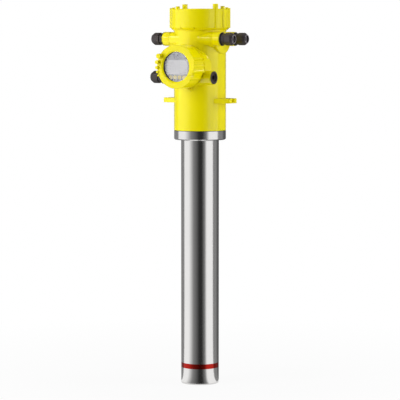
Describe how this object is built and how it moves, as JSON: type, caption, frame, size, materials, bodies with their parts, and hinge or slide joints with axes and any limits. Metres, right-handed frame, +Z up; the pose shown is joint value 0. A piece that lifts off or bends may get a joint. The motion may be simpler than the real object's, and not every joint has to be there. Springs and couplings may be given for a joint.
{
  "type": "radiometric level sensor",
  "caption": "Vertical steel detector tube under a yellow cast housing with a ribbed screw lid, a round display with keys, side cable glands and slotted mounting lugs.",
  "frame": {"origin": "centre of the tube's lower end face", "axes": "+Z up the tube's axis, -Y the way the display faces, +X to the right of someone who reads the display"},
  "size_m": [0.1856, 0.164, 0.7635],
  "materials": {
    "yellow_coat": "powder coat, semi-gloss",
    "stainless": "brushed lengthwise",
    "steel": "turned",
    "mark_red": "satin",
    "black_polyamide": "moulded, fine texture",
    "black_rubber": "matt",
    "grey_rubber": "matt",
    "window_glass": "polished",
    "display_grey": "satin",
    "lcd": "satin",
    "key_yellow": "satin",
    "scintillator": "polished",
    "silicone": "clear",
    "tube_glass": "polished",
    "mu_metal": "annealed",
    "phenolic": "moulded",
    "foam": "matt",
    "board_green": "solder mask",
    "potting_black": "cast",
    "terminal_grey": "moulded",
    "brass": "turned"
  },
  "bodies": {
    "base": {"board_pillars": "brass", "centring_ring_1": "foam", "centring_ring_2": "foam", "centring_ring_3": "foam", "collar": "stainless", "collar_gasket": "black_rubber", "collar_screws": "steel", "detector_tube": "stainless", "display_module_case": "display_grey", "gland_body_front_left": "black_polyamide", "gland_body_front_right": "black_polyamide", "gland_body_lower_left": "black_polyamide", "gland_body_rear_left": "black_polyamide", "gland_body_rear_right": "black_polyamide", "gland_seal_front_left": "grey_rubber", "gland_seal_front_right": "grey_rubber", "gland_seal_lower_left": "grey_rubber", "gland_seal_rear_left": "grey_rubber", "gland_seal_rear_right": "grey_rubber", "gland_washers": "black_rubber", "ground_terminal": "brass", "high_voltage_module": "potting_black", "housing": "yellow_coat", "lcd_panel": "lcd", "magnetic_shield": "mu_metal", "mark_ring": "mark_red", "optical_pad": "silicone", "photomultiplier": "tube_glass", "power_board": "board_green", "pressure_spring": "steel", "processor_board": "board_green", "rod_pad": "foam", "scintillator_rod": "scintillator", "spring_plate": "steel", "terminal_block": "terminal_grey", "terminal_screws": "steel", "tube_circlip": "steel", "tube_end_cap": "stainless", "tube_socket": "phenolic"},
    "main_lid_lift_ring": {"main_lid_seal": "black_rubber"},
    "main_lid": {"main_lid": "yellow_coat"},
    "display_lid_lift_ring": {"display_lid_seal": "black_rubber"},
    "display_lid": {"display_lid": "yellow_coat", "display_window": "window_glass", "window_gasket": "black_rubber", "window_retaining_ring": "steel"},
    "blind_plug": {"blind_plug": "black_polyamide"},
    "lid_lock_screw": {"lid_lock_screw": "steel"},
    "display_key_1": {"display_key_1": "key_yellow"},
    "display_key_2": {"display_key_2": "key_yellow"},
    "display_key_3": {"display_key_3": "key_yellow"},
    "display_key_4": {"display_key_4": "key_yellow"},
    "gland_nut_front_left": {"gland_nut_front_left": "black_polyamide"},
    "gland_nut_rear_left": {"gland_nut_rear_left": "black_polyamide"},
    "gland_nut_front_right": {"gland_nut_front_right": "black_polyamide"},
    "gland_nut_rear_right": {"gland_nut_rear_right": "black_polyamide"},
    "gland_nut_lower_left": {"gland_nut_lower_left": "black_polyamide"}
  },
  "joints": [
    {"name": "main_lid_lift", "type": "slide", "parent": "base", "child": "main_lid_lift_ring", "axis": [0, 0, 1], "range_m": [0, 0.01]},
    {"name": "main_lid_turn", "type": "hinge", "parent": "main_lid_lift_ring", "child": "main_lid", "pos_m": [0, 0, 0.733], "axis": [0, 0, 1], "range_deg": [0, 1800]},
    {"name": "display_lid_lift", "type": "slide", "parent": "base", "child": "display_lid_lift_ring", "axis": [0, -1, 0], "range_m": [0, 0.01]},
    {"name": "display_lid_turn", "type": "hinge", "parent": "display_lid_lift_ring", "child": "display_lid", "pos_m": [0, -0.075, 0.64], "axis": [0, -1, 0], "range_deg": [0, 1800]},
    {"name": "blind_plug_turn", "type": "hinge", "parent": "base", "child": "blind_plug", "pos_m": [0.057, -0.045, 0.6183], "axis": [1, 0, 0], "range_deg": [0, 720]},
    {"name": "lid_lock_screw_turn", "type": "hinge", "parent": "base", "child": "lid_lock_screw", "pos_m": [0.00827, -0.0557, 0.59495], "axis": [0, -1, 0], "range_deg": [-360, 360]},
    {"name": "display_key_1_press", "type": "slide", "parent": "base", "child": "display_key_1", "axis": [0, 1, 0], "range_m": [0, 0.0006], "stiffness_N_per_m": 2000, "springref_m": -0.0003},
    {"name": "display_key_2_press", "type": "slide", "parent": "base", "child": "display_key_2", "axis": [0, 1, 0], "range_m": [0, 0.0006], "stiffness_N_per_m": 2000, "springref_m": -0.0003},
    {"name": "display_key_3_press", "type": "slide", "parent": "base", "child": "display_key_3", "axis": [0, 1, 0], "range_m": [0, 0.0006], "stiffness_N_per_m": 2000, "springref_m": -0.0003},
    {"name": "display_key_4_press", "type": "slide", "parent": "base", "child": "display_key_4", "axis": [0, 1, 0], "range_m": [0, 0.0006], "stiffness_N_per_m": 2000, "springref_m": -0.0003},
    {"name": "gland_nut_front_left_turn", "type": "hinge", "parent": "base", "child": "gland_nut_front_left", "pos_m": [-0.084, -0.0264, 0.694], "axis": [-1, 0, 0], "range_deg": [0, 1080]},
    {"name": "gland_nut_rear_left_turn", "type": "hinge", "parent": "base", "child": "gland_nut_rear_left", "pos_m": [-0.084, 0.0264, 0.694], "axis": [-1, 0, 0], "range_deg": [0, 1080]},
    {"name": "gland_nut_front_right_turn", "type": "hinge", "parent": "base", "child": "gland_nut_front_right", "pos_m": [0.084, -0.0264, 0.694], "axis": [1, 0, 0], "range_deg": [0, 1080]},
    {"name": "gland_nut_rear_right_turn", "type": "hinge", "parent": "base", "child": "gland_nut_rear_right", "pos_m": [0.084, 0.0264, 0.694], "axis": [1, 0, 0], "range_deg": [0, 1080]},
    {"name": "gland_nut_lower_left_turn", "type": "hinge", "parent": "base", "child": "gland_nut_lower_left", "pos_m": [-0.075, -0.045, 0.6183], "axis": [-1, 0, 0], "range_deg": [0, 1080]}
  ],
  "couplings": [
    {"joint": "main_lid_lift", "follows": "main_lid_turn", "m_per_rad": 0.000318},
    {"joint": "display_lid_lift", "follows": "display_lid_turn", "m_per_rad": 0.000318}
  ]
}
